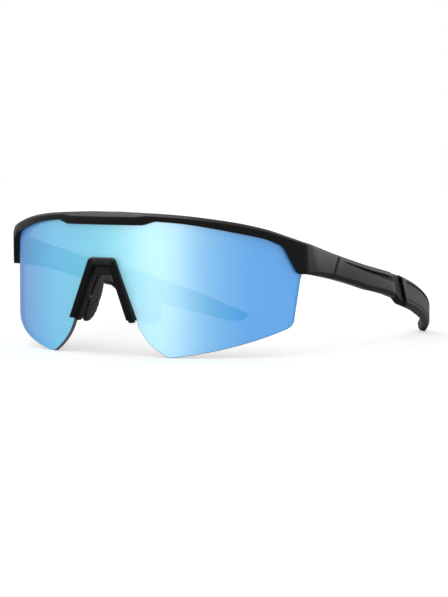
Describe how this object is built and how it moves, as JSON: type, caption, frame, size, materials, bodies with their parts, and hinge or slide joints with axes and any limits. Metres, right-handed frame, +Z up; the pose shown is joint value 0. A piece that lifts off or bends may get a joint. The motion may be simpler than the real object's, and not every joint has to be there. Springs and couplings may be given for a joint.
{
  "type": "wraparound sport sunglasses",
  "caption": "Half-rim wraparound sport sunglasses with a one-piece mirrored shield lens, folding temples with rubber tips and adjustable nose pads.",
  "frame": {"origin": "under the middle of the whole part's box, on the surface that it stands on", "axes": "+X towards the wearer's left temple, +Y from the lens back along the temples, +Z up"},
  "size_m": [0.1434, 0.1678, 0.0536],
  "materials": {
    "frame_plastic": "fine satin black injection moulding",
    "clip_plastic": "smooth satin black",
    "lens_mirror": "blue mirror coating on tinted polycarbonate",
    "soft_rubber": "matte black soft rubber",
    "hinge_steel": "plain satin"
  },
  "bodies": {
    "front": {"brow_frame": "frame_plastic", "lens": "lens_mirror", "nose_bracket": "clip_plastic", "nose_saddle": "soft_rubber", "hinge_front_leaf_left": "hinge_steel", "hinge_front_leaf_right": "hinge_steel", "hinge_screw_left": "hinge_steel", "hinge_screw_right": "hinge_steel", "front_leaf_screw_left": "hinge_steel", "front_leaf_screw_right": "hinge_steel"},
    "temple_left": {"temple_arm_left": "frame_plastic", "temple_grip_left": "soft_rubber", "hinge_temple_leaf_left": "hinge_steel", "temple_leaf_screw_left": "hinge_steel"},
    "temple_right": {"temple_arm_right": "frame_plastic", "temple_grip_right": "soft_rubber", "hinge_temple_leaf_right": "hinge_steel", "temple_leaf_screw_right": "hinge_steel"},
    "pad_left": {"nose_pad_left": "soft_rubber", "nose_pad_wire_left": "hinge_steel"},
    "pad_right": {"nose_pad_right": "soft_rubber", "nose_pad_wire_right": "hinge_steel"}
  },
  "joints": [
    {"name": "temple_fold_left", "type": "hinge", "parent": "front", "child": "temple_left", "pos_m": [0.0658, -0.03059, 0.0331], "axis": [0, 0, 1], "range_deg": [0, 90]},
    {"name": "temple_fold_right", "type": "hinge", "parent": "front", "child": "temple_right", "pos_m": [-0.0658, -0.03059, 0.0331], "axis": [0, 0, -1], "range_deg": [0, 80]},
    {"name": "pad_adjust_left", "type": "hinge", "parent": "front", "child": "pad_left", "pos_m": [0.00869, -0.07819, 0.0212], "axis": [-0.3783, 0, 0.9257], "range_deg": [-8, 8]},
    {"name": "pad_adjust_right", "type": "hinge", "parent": "front", "child": "pad_right", "pos_m": [-0.00869, -0.07819, 0.0212], "axis": [-0.3783, 0, -0.9257], "range_deg": [-8, 8]}
  ]
}
